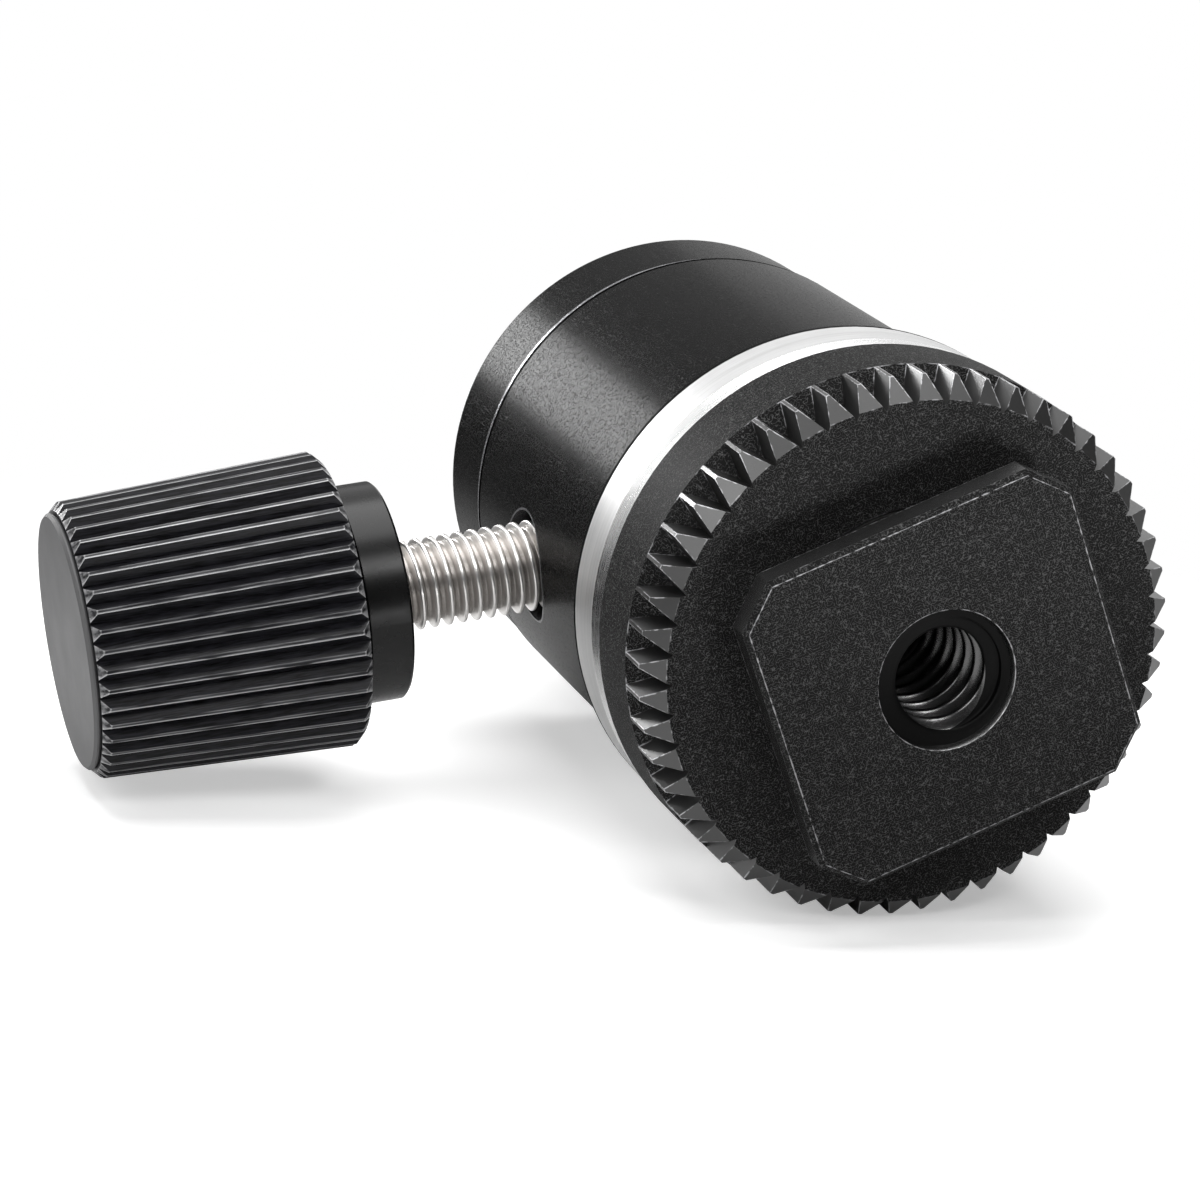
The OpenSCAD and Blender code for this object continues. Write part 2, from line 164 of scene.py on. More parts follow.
class Skin:
    """A closed surface put together from grids and facets, with each point's wear: its share of bare metal,
    and on threads the thread's height.
    """

    def __init__(self):
        self.points = []
        self.faces = []
        self.wear = []
        self.slots = []
        self.count = 0

    def add(self, points, faces, wear=0.0, slot=0):
        """Adds points, faces as an array of point numbers, the points' wear and the faces' material."""
        points = np.asarray(points, dtype=float).reshape(-1, 3)
        self.points.append(points)
        self.wear.append(np.broadcast_to(np.asarray(wear, dtype=float).reshape(-1), len(points)))
        self.faces += (np.asarray(faces) + self.count).tolist()
        self.slots += np.broadcast_to(slot, len(faces)).tolist()
        self.count += len(points)

    def rows(self, grid, wear=0.0, slots=0):
        """Adds a grid of rows of points, closed round each row.

        wear is one value for each row or point, and slots the material of each strip between rows.
        """
        rows, columns = grid.shape[:2]
        row = np.arange(rows - 1)[:, None]
        column = np.arange(columns)[None, :]
        beside = (column + 1) % columns
        corners = (row * columns + column, row * columns + beside,
            (row + 1) * columns + beside, (row + 1) * columns + column)
        faces = np.stack([np.broadcast_to(c, (rows - 1, columns)) for c in corners], axis=-1).reshape(-1, 4)
        wear = np.asarray(wear, dtype=float)
        wear = wear[:, None] if wear.ndim == 1 else wear
        strip_slots = np.broadcast_to(np.asarray(slots), rows - 1)
        self.add(grid, faces, np.broadcast_to(wear, (rows, columns)), np.repeat(strip_slots, columns))

    def facets(self, corners, wear, slot, width=worn_w):
        """Adds flat facets, each with a worn frame of a width along its sides.

        corners is an array of facets by corners by coordinates. Each corner's inner point lies at the
        worn line's width from both of its sides: the corner plus (a + b) * width / (1 + a.b), where a and
        b are the unit vectors that point into the facet at right angles to its two sides.
        """
        corners = np.asarray(corners, dtype=float)
        facets, n = corners.shape[:2]
        side = np.roll(corners, -1, axis=1) - corners
        side /= np.linalg.norm(side, axis=-1, keepdims=True)
        normal = np.cross(side[:, 0], side[:, 1])
        normal /= np.linalg.norm(normal, axis=-1, keepdims=True)
        inward = np.cross(normal[:, None, :], side)
        before = np.roll(inward, 1, axis=1)
        meet = 1 + (inward * before).sum(axis=-1, keepdims=True)
        inner = corners + (inward + before) * width / meet
        points = np.concatenate([corners, inner], axis=1)
        first = np.arange(facets)[:, None] * 2 * n
        k = np.arange(n)
        after = (k + 1) % n
        frame_faces = np.stack([first + k, first + after, first + n + after, first + n + k], axis=-1)
        worn = np.concatenate([np.broadcast_to(wear, n), np.zeros(n)])
        self.add(points, frame_faces.reshape(-1, 4), np.tile(worn, facets), slot)
        self.add(inner, np.arange(facets * n).reshape(facets, n), 0.0, slot)

    def build(self, name, materials, crease=25):
        """Object in metres, with coinciding points merged, faces outwards and edges sharp past an angle."""
        mesh = bpy.data.meshes.new(name)
        mesh.from_pydata((np.concatenate(self.points) * MM).tolist(), [], self.faces)
        worn = mesh.attributes.new("wear", "FLOAT", "POINT")
        worn.data.foreach_set("value", np.concatenate(self.wear))
        mesh.polygons.foreach_set("material_index", np.asarray(self.slots, dtype=np.int32))
        work = bmesh.new()
        work.from_mesh(mesh)
        bmesh.ops.remove_doubles(work, verts=work.verts, dist=2e-7)
        bmesh.ops.recalc_face_normals(work, faces=work.faces)
        work.to_mesh(mesh)
        work.free()
        mesh.polygons.foreach_set("use_smooth", np.ones(len(mesh.polygons), dtype=bool))
        mesh.set_sharp_from_angle(angle=math.radians(crease))
        for material in materials:
            mesh.materials.append(material)
        made = bpy.data.objects.new(name, mesh)
        bpy.context.scene.collection.objects.link(made)
        return made


def turned(radius, height, angle):
    """Points (radius cos angle, radius sin angle, height) of values that spread to one grid."""
    radius, height, angle = np.broadcast_arrays(radius, height, angle)
    return np.stack([radius * np.cos(angle), radius * np.sin(angle), height], axis=-1).astype(float)


def on_knob_axis(grid):
    """Turns points drawn along +Z on to the knob's axis, with z as the distance from the head's axis."""
    turn = np.array(Matrix.Rotation(knob_angle, 3, "Z") @ Matrix.Rotation(math.pi / 2, 3, "Y"))
    return grid @ turn.T + np.array([0, 0, knob_z])


def even_angles(count):
    return np.arange(count) * TURN / count


def eased(value, start, end):
    """0 at start, 1 at end, even between them and level outside."""
    return np.clip((value - start) / (end - start), 0, 1)


def thread_form(turns, crest, root):
    """Height of a thread, 0 at its root and 1 at its crest, where turns counts pitches.

    With w as the distance in pitches from the nearest crest's middle, h falls evenly from 1 where w is half
    the crest's flat to 0 where w is half a pitch less half the root's flat, and the height is
    h * h * (3 - 2 * h). crest and root are the two flats in pitches.
    """
    w = np.abs((turns + 0.5) % 1.0 - 0.5)
    h = np.clip((0.5 - root / 2 - w) / (0.5 - root / 2 - crest / 2), 0, 1)
    return h * h * (3 - 2 * h)


def flank_angle(radius, root, slope):
    """Angle from a groove's middle at which its flank reaches a radius.

    The flank is y = (x - root) * slope with x along the groove's middle, and x^2 + y^2 = radius^2.
    """
    a = 1 + slope**2
    b = -2 * root * slope**2
    c = (root * slope) ** 2 - radius**2
    x = (-b + np.sqrt(b * b - 4 * a * c)) / (2 * a)
    return np.arctan2((x - root) * slope, x)


def eight_sides(half_w, half_l, half_diagonal, steps):
    """Points round an eight-sided outline, with the same number of steps along each side.

    Its corners are where the diagonals x + y = half_diagonal * sqrt(2) cross the sides of the rectangle.
    """
    reach = half_diagonal * math.sqrt(2)
    quarter = [(half_w, reach - half_w), (reach - half_l, half_l)]
    corners = np.array(quarter + [(-x, y) for x, y in quarter[::-1]]
        + [(-x, -y) for x, y in quarter] + [(x, -y) for x, y in quarter[::-1]])
    along = np.arange(steps)[None, :, None] / steps
    following = np.roll(corners, -1, axis=0)
    return (corners[:, None, :] * (1 - along) + following[:, None, :] * along).reshape(-1, 2)


def make_shoe_foot(materials):
    """Shoe plate, stem and threaded socket as one grid of rings.

    Each ring is an outline round the axis at a height: eight-sided for the plate, a circle cut by two flats
    for the stem, circles for the spigot, and in the socket r = major radius less depth times the thread's
    height at z / pitch - angle / turn. The materials are the plate's coat, the thread's, and the mouth's
    dull, darker finish, which paints shade into the socket's first rows.
    """
    diagonal = ((plate_half_w + plate_half_l) - corner_cut) / math.sqrt(2)
    outline = eight_sides(plate_half_w, plate_half_l, diagonal, side_steps)
    angle = np.arctan2(outline[:, 1], outline[:, 0])
    columns = len(angle)
    circle = np.ones(columns)
    stem = np.minimum(stem_r, stem_half_flat / np.maximum(np.abs(np.cos(angle)), 0.1))

    def plate_ring(inset, z):
        inner = eight_sides(plate_half_w - inset, plate_half_l - inset, diagonal - inset, side_steps)
        return np.column_stack([inner, np.full(columns, z)])

    def ring(radius, z):
        return turned(radius * circle, z, angle)

    z = np.arange(mouth_z, socket_end_z, coarse_pitch / socket_rows)[:, None]
    full = eased(z, mouth_z, mouth_z + thread_growth_h) * eased(z, socket_end_z, thread_fade_z)
    depth = (coarse_major_r - coarse_minor_r) * full
    start_r = coarse_major_r + (mouth_r - coarse_major_r) * eased(z, mouth_z + mouth_taper_h, mouth_z)
    bore = turned(start_r - depth * thread_form(z / coarse_pitch - angle / TURN, 0.16, 0.2), z, angle)
    # The rings run up the socket's wall from its floor, then round the plate and up the stem
    rings = [ring(0, socket_end_z), ring(coarse_major_r, socket_end_z)] + list(bore[::-1])
    worn = [0, 0] + [0] * len(bore)
    # The socket's first rows take the mouth's darker, duller finish, as painted shade
    near_mouth = z[::-1, 0] < mouth_z + shaded_mouth_h
    slots = [1, 1] + np.where(near_mouth[1:], 2, 1).tolist()

    def then(points, wear, slot=0):
        rings.append(points)
        worn.append(wear)
        slots.append(slot)

    then(ring(countersink_r - worn_w / 2, worn_w / 2), 0, 1)
    then(ring(countersink_r, 0), 0.8, 1)
    then(ring(countersink_r + worn_w / 2, 0), 0)
    then(plate_ring(plate_bevel + worn_w, 0), 0)
    then(plate_ring(plate_bevel, 0), 0.8)
    then(plate_ring(plate_bevel - worn_w / 2, worn_w / 2), 0)
    then(plate_ring(worn_w / 2, plate_bevel - worn_w / 2), 0)
    then(plate_ring(0, plate_bevel), 0.3)
    then(plate_ring(0, plate_bevel + worn_w), 0)
    then(plate_ring(0, plate_t - worn_w), 0, 1)
    then(plate_ring(0, plate_t), 0.5)
    then(plate_ring(worn_w, plate_t), 0)
    then(ring(stem, plate_t), 0)
    then(ring(stem, stem_flat_top_z), 0)
    then(ring(stem_r, stem_flat_top_z), 0)
    then(ring(stem_r, shoulder_z), 0)
    then(ring(spigot_r, shoulder_z), 0)
    then(ring(spigot_r, spigot_top_z - spigot_bevel), 0)
    then(ring(spigot_r - spigot_bevel, spigot_top_z), 0)
    then(ring(0, spigot_top_z), 0)
    skin = Skin()
    skin.rows(np.array(rings), worn, slots)
    return skin.build("shoe_foot_threaded", materials, 40)


def make_lock_wheel(materials):
    """Toothed wheel: for each groove two flanks, a run-out, a land and a bevel, as flat facets.

    In a groove's own frame, with x along its middle, the flanks are y = +-(x - root) * slope, the run-out is
    the plane z = back - (r - x) / tan(run-out angle), and the front bevel is a cone between two radii.
    """
    step = TURN / teeth
    middle = (np.arange(teeth) + 0.5) * step
    root = wheel_r - tooth_depth
    slope = (math.pi * wheel_r / teeth - tooth_flat / 2) / tooth_depth
    front_r = wheel_r - tooth_bevel_w
    mouth = flank_angle(front_r, root, slope)
    ridge = flank_angle(wheel_r, root, slope)
    runout = 1 / math.tan(math.radians(tooth_runout))
    ridge_back_z = tooth_back_z - wheel_r * (1 - math.cos(ridge)) * runout
    valley_back_z = tooth_back_z - tooth_depth * runout

    def at(radius, z, turn):
        return turned(radius, z, middle + turn)

    valley_front = at(root, wheel_z, 0)
    valley_back = at(root, valley_back_z, 0)
    over = at(wheel_r, tooth_back_z, 0)
    front = {s: at(front_r, wheel_z, s * mouth) for s in (-1, 1)}
    top = {s: at(wheel_r, wheel_z + tooth_bevel_h, s * ridge) for s in (-1, 1)}
    back = {s: at(wheel_r, ridge_back_z, s * ridge) for s in (-1, 1)}

    def facet(*corners):
        return np.stack(corners, axis=1)

    skin = Skin()
    for s in (-1, 1):
        skin.facets(facet(valley_front, front[s], top[s], back[s], valley_back), (0.1, 0.5, 1, 1, 0.15), 1)
        skin.facets(facet(valley_back, back[s], over), (0.1, 0.8, 0.2), 0)
    following = {name: np.roll(points[-1], -1, axis=0) for name, points in
        (("front", front), ("top", top), ("back", back))}
    skin.facets(facet(front[1], top[1], following["top"], following["front"]), (0.5, 1, 1, 0.5), 1)
    skin.facets(facet(top[1], back[1], following["back"], following["top"]), 1, 1, tooth_flat / 3)

    def loop(radius, z, edge):
        """Ring of three points for each groove, its middle and the turns to its edges on both sides."""
        angle = middle[:, None] + edge * np.array([-1, 0, 1])
        return turned(np.asarray(radius), np.asarray(z), angle).reshape(-1, 3)

    outline_r = np.array([front_r, root, front_r])
    outline_z = np.array([ridge_back_z, tooth_back_z, ridge_back_z])
    rings = [loop(outline_r, wheel_z, mouth), loop(outline_r - worn_w, wheel_z, mouth),
        loop(washer_room_r + worn_w, wheel_z, ridge), loop(washer_room_r, wheel_z, ridge),
        loop(washer_room_r, washer_room_z, ridge), loop(wheel_bore_r, washer_room_z, ridge),
        loop(wheel_bore_r, wheel_top_z, ridge), loop(wheel_r - edge_bevel - worn_w, wheel_top_z, ridge),
        loop(wheel_r - edge_bevel, wheel_top_z, ridge), loop(wheel_r, wheel_top_z - edge_bevel, ridge),
        loop(wheel_r, wheel_top_z - edge_bevel - worn_w, ridge), loop(wheel_r, outline_z + worn_w, ridge),
        loop(wheel_r, outline_z, ridge)]
    skin.rows(np.array(rings), [0.4, 0, 0, 0.3, 0, 0, 0, 0, 0.6, 0.6, 0, 0, 0.2], 0)
    return skin.build("lock_wheel_toothed", materials)


def make_knob_body(materials):
    """Ribbed knob: rings of valley, flank, land and flank again for each rib.

    A groove's flanks are y = +-(x - root) * slope in its own frame, and the root follows the knob's taper.
    """
    step = TURN / ribs
    middle = np.arange(ribs) * step
    slope = (math.pi * knob_outer_r / ribs - rib_flat / 2) / rib_depth
    taper = (knob_inner_r - knob_outer_r) / (knob_face - knob_inner)
    start = knob_inner + knob_bevel
    end = knob_face - knob_bevel
    # Distance along the knob, how far the land stands out from its taper there, and the wear of the ends
    spots = [(knob_inner, -knob_bevel), (start - worn_w, -worn_w), (start, 0), (start + worn_w, 0),
        (end - worn_w, 0), (end, 0), (end + worn_w, -worn_w), (knob_face, -knob_bevel)]
    row_wear = [0.6, 0, 0.9, 0, 0, 0.9, 0, 0.6]
    rings, worn = [], []
    for (z, inset), wear in zip(spots, row_wear):
        share = eased(z, start, end)
        land_r = knob_inner_r + (knob_outer_r - knob_inner_r) * share + inset
        root = knob_inner_r - rib_depth - taper * (z - knob_inner)
        edge = flank_angle(land_r, root, slope)
        flank_r = max(land_r - worn_w / 2, (land_r + root) / 2)
        low = flank_angle(flank_r, root, slope)
        turns = np.array([0, low, edge, step / 2, step - edge, step - low])
        radii = np.array([root, flank_r, land_r, land_r, land_r, flank_r])
        rings.append(turned(radii, z, middle[:, None] + turns).reshape(-1, 3))
        # One ridge of each rib is worn along its whole length, the rest mostly at the knob's ends
        worn.append(np.tile([0, 0, 1, 0.2 + 0.5 * wear, 0.6 + 0.4 * wear, 0], ribs))
    columns = np.arctan2(rings[0][:, 1], rings[0][:, 0])

    def inside(radius, z):
        return turned(radius, z, columns)

    end_r = knob_outer_r - knob_bevel - rib_depth / 2
    start_r = knob_inner_r - knob_bevel - rib_depth / 2
    open_rings = [inside(start_r, knob_inner), inside(hub_room_r, knob_inner),
        inside(hub_room_r, hub_room_end), inside(stud_room_r, hub_room_end), inside(stud_room_r, nut_inner),
        inside(nut_room_r, nut_inner), inside(nut_room_r, plug_floor), inside(plug_room_r, plug_floor),
        inside(plug_room_r, knob_face), inside(end_r, knob_face)]
    loop = open_rings + rings[::-1] + open_rings[:1]
    worn = [np.zeros(len(columns))] * len(open_rings) + worn[::-1] + [np.zeros(len(columns))]
    skin = Skin()
    skin.rows(on_knob_axis(np.array(loop)), np.array(worn), 0)
    return skin.build("knob_body_ribbed", materials)


def make_thread(name, material, place, columns, pitch, radii, span, below, above):
    """Threaded rod: r = minor radius plus depth times the thread's height at z / pitch - angle / turn.

    radii are the minor and the major one, and the thread fades in and out at the ends of its span. below
    and above list the plain rings (r, z) before and after it, and place carries the rod to its own axis.
    """
    minor_r, major_r = radii
    z0, z1 = span
    angle = even_angles(columns)
    z = np.linspace(z0, z1, int((z1 - z0) / pitch * rod_rows))[:, None]
    full = eased(z, z0, z0 + pitch * 0.6) * eased(z, z1, z1 - pitch * 0.5)
    radius = minor_r + (major_r - minor_r) * full * thread_form(z / pitch - angle / TURN, 0.13, 0.22)
    thread = list(turned(radius, z, angle))
    before = [turned(r * np.ones(columns), h, angle) for r, h in below]
    after = [turned(r * np.ones(columns), h, angle) for r, h in above]
    rings = np.array(before + thread + after)
    worn = np.zeros(rings.shape[:2])
    # On threads the wear values hold the thread's height, which the stainless finish uses for painted shade
    # in the roots
    worn[len(before):len(before) + len(thread)] = (radius - minor_r) / (major_r - minor_r)
    skin = Skin()
    skin.rows(place(rings), worn, 0)
    return skin.build(name, [material], 40)


def make_pad(materials):
    """Rubber ring with rounded concentric grooves.

    z = top - depth * (1 - cos(turn * grooves * share)) / 2, with share from 0 to 1 across the ring.
    """
    angle = even_angles(192)
    radius = np.linspace(pad_hole_r + pad_lip, pad_r - pad_lip, 121)
    wave = (1 - np.cos(TURN * pad_grooves * (radius - radius[0]) / (radius[-1] - radius[0]))) / 2
    lip_z = pad_top_z - pad_lip
    rim = [(pad_hole_r, lip_z), (pad_hole_r, pad_z), (pad_r, pad_z), (pad_r, lip_z)]
    section = np.array(rim + list(zip(radius[::-1], (pad_top_z - pad_groove * wave)[::-1])) + rim[:1])
    skin = Skin()
    skin.rows(turned(section[:, :1], section[:, 1:], angle), 0.0, 0)
    return skin.build("pad_grooved", materials)


# Finishes


class Field:
    """A value or colour that varies over a surface: a shader socket that takes part in expressions."""

    def __init__(self, nodes, socket):
        self.nodes = nodes
        self.socket = socket

    def maths(self, operation, first, second):
        return self.nodes.node("ShaderNodeMath", {"operation": operation}, {0: first, 1: second})

    def __add__(self, other):
        return self.maths("ADD", self, other)

    def __radd__(self, other):
        return self.maths("ADD", other, self)

    def __sub__(self, other):
        return self.maths("SUBTRACT", self, other)

    def __rsub__(self, other):
        return self.maths("SUBTRACT", other, self)

    def __mul__(self, other):
        return self.maths("MULTIPLY", self, other)

    def __rmul__(self, other):
        return self.maths("MULTIPLY", other, self)

    def greater(self, other):
        return self.maths("MAXIMUM", self, other)


class Nodes:
    """A tree of shader nodes, to which expressions on its fields add their own."""

    def __init__(self, tree):
        self.tree = tree

    def node(self, kind, settings=None, inputs=None, output=0):
        """A node's output as a field, after its settings are set and its inputs set or linked."""
        made = self.tree.nodes.new(kind)
        for key, value in (settings or {}).items():
            if key == "stops":
                set_stops(made.color_ramp, value)
            else:
                setattr(made, key, value)
        for key, value in (inputs or {}).items():
            if isinstance(value, Field):
                self.tree.links.new(value.socket, made.inputs[key])
            else:
                made.inputs[key].default_value = value
        return Field(self, made.outputs[output])


class Finish(Nodes):
    """A material with one Principled shader, built from nodes. Constants go on the shader's own sockets.

    Sizes, heights and distances are in millimetres.
    """

    def __init__(self, name, **constants):
        self.material = bpy.data.materials.new(name)
        self.material.use_nodes = True
        super().__init__(self.material.node_tree)
        self.shader = self.tree.nodes["Principled BSDF"]
        for key, value in constants.items():
            self.shader.inputs[key.replace("_", " ")].default_value = value

    def place(self):
        """Object coordinates, in metres."""
        return self.node("ShaderNodeTexCoord", output="Object")

    def height(self):
        """Height over the underside of the shoe plate, in metres."""
        return self.node("ShaderNodeSeparateXYZ", inputs={0: self.place()}, output=2)

    def vector(self, operation, first, second, output=0):
        return self.node("ShaderNodeVectorMath", {"operation": operation}, {0: first, 1: second}, output)

    def stretched(self, x, y, z):
        """Object coordinates with each axis multiplied, for patterns that run along one of them."""
        return self.vector("MULTIPLY", self.place(), (x, y, z))

    def along(self, vector, direction):
        """Length of a vector's part along a direction."""
        return self.vector("DOT_PRODUCT", vector, direction, "Value")

    def beside(self, vector, direction, share=1.0):
        """A vector less a share of its part along a direction."""
        length = self.along(vector, direction) * share
        part = self.node("ShaderNodeVectorMath", {"operation": "SCALE"}, {0: direction, "Scale": length})
        return self.vector("SUBTRACT", vector, part)

    def noise(self, size, detail=2.0, vector=None, rough=0.5):
        """Cloudy noise from 0 to 1 with patches of a size."""
        inputs = {"Vector": vector or self.place(), "Scale": 1 / (size * MM), "Detail": detail,
            "Roughness": rough}
        return self.node("ShaderNodeTexNoise", {}, inputs, "Fac")

    def squiggles(self, size):
        """Thin winding lines: 1 along the middle height of a noise, 0 away from it."""
        return self.ramp(self.noise(size, 0.5), (0.45, 0), (0.49, 1), (0.51, 1), (0.55, 0))

    def ramp(self, value, *stops):
        """The value carried through stops of (position, height)."""
        return self.node("ShaderNodeValToRGB", {"stops": stops}, {0: value})

    def rise(self, value, low, high, first=0.0, last=1.0):
        """first below a low distance, last above a high one, and even between them."""
        return self.node("ShaderNodeMapRange", {}, {0: value, 1: low * MM, 2: high * MM, 3: first, 4: last})

    def band(self, value, low, high, soft):
        """1 where a distance lies between two others, falling to 0 over a soft width."""
        return self.rise(value, low - soft, low) * self.rise(value, high, high + soft, 1.0, 0.0)

    def between(self, share, first, second):
        """Blend from one colour to another by a share from 0 to 1."""
        return self.node("ShaderNodeMix", {"data_type": "RGBA"}, {0: share, 6: first, 7: second}, 2)

    def worn(self):
        """The mesh's own wear values: the share of bare metal along its edges, and on turned threads the
        thread's height, which the stainless finish turns into painted shade and highlight.
        """
        return self.node("ShaderNodeAttribute", {"attribute_name": "wear"}, output="Fac")

    def bump(self, relief, depth):
        """Surface normal of a relief from 0 to 1 that stands for a depth."""
        return self.node("ShaderNodeBump", {}, {"Height": relief, "Strength": 1.0, "Distance": depth * MM})

    def bump_to_edge(self, relief, edge_z):
        """Surface normal of a relief in millimetres, on a surface that turns in just below an edge."""
        return self.bump(relief + self.rise(self.height(), edge_z - turn_in_h, edge_z) * turn_in, 1.0)

    def drive(self, socket, value):
        self.tree.links.new(value.socket, self.shader.inputs[socket])


def set_stops(ramp, stops):
    """Stops as (position, grey) pairs."""
    while len(ramp.elements) < len(stops):
        ramp.elements.new(1.0)
    for element, (position, level) in zip(ramp.elements, stops):
        element.position = position
        element.color = grey(level)


def grey(level, tint=0.0):
    """A grey as a colour, a little bluer with tint."""
    return (level, level, level * (1 + tint), 1)


def anodised(name, base, roughness, specular, grain, depth, light, worn_level, ior=1.5):
    """Black anodising: winding lines in the grain painted light, partly as grain and partly as painted
    glints, and a broken line of bare metal on worn edges.

    grain and depth are the lines' spacing and height, light is the painted grey of the lines and their
    glints, and worn_level the bare metal's.
    """
    finish = Finish(name, Specular_IOR_Level=specular, IOR=ior)
    lines = finish.squiggles(grain)
    fine = finish.noise(grain * 0.4, 1.0)
    cloud = finish.noise(grain * 16, 2.0)
    tone = finish.between(cloud, grey(base * 0.7), grey(base * 1.3))
    # Partly painted glints: the grain's winding lines are painted a lighter grey in the colour
    colour = finish.between(lines * finish.ramp(fine, (0.35, 0.3), (0.65, 1)), tone, grey(light))
    broken = finish.ramp(finish.noise(0.35, 3.0) + finish.worn() * 0.35, (0.62, 0), (0.8, 1))
    bare = broken * finish.worn()
    finish.drive("Base Color", finish.between(bare, colour, grey(worn_level, 0.03)))
    finish.drive("Metallic", bare * 0.6)
    finish.drive("Roughness", finish.ramp(cloud, (0.2, roughness * 0.93), (0.8, roughness * 1.07)))
    finish.drive("Normal", finish.bump(lines * 0.7 + fine * 0.3, depth))
    return finish.material


def make_peel_black():
    """Fine black coat of the housing, cap and table: winding lines over finer grain.

    Where housing and cap meet, the housing's edge turns in and is painted black as the joint's shadow, and
    the cap's edge is bare, partly worn and partly a painted highlight of its bevel. The rim of the hole for
    the stud is worn.
    """
    finish = Finish("peel_black", Specular_IOR_Level=0.022)
    lines = finish.squiggles(0.18)
    fine = finish.noise(0.1, 2.0)
    z = finish.height()
    edge_z = housing_top_z - edge_bevel
    # Painted shade: the housing's edge below the joint is painted black where the gap's shadow falls
    painted_gap_shade = finish.band(z, edge_z - joint_shadow_h, cap_z, line_soft)
    # The cap's bare lip is partly wear and partly a painted highlight of its bevel
    worn_lip_and_highlight = finish.band(z, cap_z + 0.08, cap_z + 0.36, line_soft)
    from_axis = finish.vector("SUBTRACT", finish.place(), (0, 0, knob_z * MM))
    off_axis = finish.vector("LENGTH", finish.beside(from_axis, knob_out), (0, 0, 0), "Value")
    rim = finish.band(off_axis, stud_mouth_r - 0.02, stud_mouth_r + 0.1, line_soft)
    rim = rim * finish.rise(finish.along(from_axis, knob_out), housing_r * 0.9, housing_r * 0.96)
    broken = finish.ramp(finish.noise(0.5, 3.0), (0.35, 0.6), (0.6, 1))
    bare = (worn_lip_and_highlight * 0.9 + rim * 0.4) * broken
    tone = finish.between(lines, grey(0.0015), grey(0.012))
    tone = finish.between(bare, tone, grey(0.34, 0.05))
    finish.drive("Base Color", finish.between(painted_gap_shade, tone, grey(0)))
    finish.drive("Metallic", bare * 0.9)
    finish.drive("Roughness", finish.ramp(lines, (0, 0.2565), (1, 0.297)))
    finish.drive("Normal", finish.bump_to_edge((lines * 0.7 + fine * 0.3) * 0.008, edge_z))
    return finish.material


def make_silver():
    """Turned and brushed aluminium: lines round the ring, and a smoother, brighter bevel with small chips.

    The ring's other edge turns in where it meets the housing, and is painted dark as the joint's shadow.
    """
    finish = Finish("brushed_silver", Metallic=1.0)
    z = finish.height()
    edge_z = housing_z - edge_bevel
    lines = finish.noise(1.0, 4.0, finish.stretched(0.12, 0.12, 9.0), 0.7)
    cloud = finish.noise(3.0, 3.0)
    bevel = finish.band(z, ring_z, ring_bevel_top_z, 0.03)
    chips = finish.ramp(finish.noise(0.35, 4.0), (0.68, 0), (0.72, 1))
    chips = chips * finish.band(z, ring_z - 0.1, ring_z + 0.25, 0.1)
    # Painted shade: the ring's edge next to the housing is painted nearly black where the joint's shadow
    # falls
    painted_joint_shade = finish.band(z, edge_z - joint_shadow_h, housing_z + 0.1, line_soft)
    tone = finish.ramp(lines, (0.3, 0.46), (0.7, 0.6))
    tone = finish.between(bevel * 0.8, tone, grey(0.86))
    finish.drive("Base Color", finish.between(chips + painted_joint_shade, tone, grey(0.01)))
    rough = finish.ramp(lines * 0.6 + cloud * 0.4, (0.3, 0.4), (0.7, 0.54))
    finish.drive("Roughness", rough - bevel * 0.2)
    finish.drive("Normal", finish.bump_to_edge(lines * 0.012, edge_z))
    return finish.material


def metal(name, base, roughness, scratch, stretch, oil):
    """Plain steel: fine lines along the axes that stretch leaves short, and clouded gloss.

    scratch is the lines' size, and oil darkens the metal in patches.
    """
    finish = Finish(name, Metallic=1.0)
    lines = finish.noise(scratch, 3.0, finish.stretched(*stretch))
    cloud = finish.noise(2.0, 3.0)
    tone = finish.between(lines, grey(base * 0.85), grey(base * 1.12))
    tone = finish.between(cloud * oil, tone, grey(base * 0.4))
    finish.drive("Base Color", tone)
    gloss = lines * 0.5 + cloud * 0.5
    finish.drive("Roughness", finish.ramp(gloss, (0.3, roughness * 0.8), (0.7, roughness * 1.25)))
    finish.drive("Normal", finish.bump(lines, 0.004))
    return finish.material


def make_stainless_thread():
    """Rolled stainless thread, a little warm: dull roots painted dark as shade, and crests and flanks painted
    bright as highlight.
    """
    finish = Finish("stainless_thread", Metallic=0.95)
    height = finish.worn()
    lines = finish.noise(0.12, 3.0)
    # Painted shade and highlight: the colour runs from dark at the thread's roots to bright at its crests
    tone = finish.ramp(height + lines * 0.15, (0.05, 0), (0.35, 0.6), (0.95, 1))
    finish.drive("Base Color", finish.between(tone, (0.25, 0.23, 0.215, 1), (0.86, 0.84, 0.82, 1)))
    finish.drive("Roughness", finish.ramp(height, (0.1, 0.38), (0.6, 0.29)))
    finish.drive("Normal", finish.bump(lines, 0.001))
    return finish.material


def make_grey_disc():
    """Smooth grey end disc of the knob, with a faint cloud and very fine grain."""
    finish = Finish("grey_disc", Specular_IOR_Level=0.35)
    cloud = finish.noise(3.0, 3.0)
    finish.drive("Base Color", finish.between(cloud, grey(0.079, 0.02), grey(0.093, 0.02)))
    finish.drive("Roughness", finish.ramp(cloud, (0.3, 0.5), (0.7, 0.6)))
    finish.drive("Normal", finish.bump(finish.noise(0.05, 2.0), 0.004))
    return finish.material


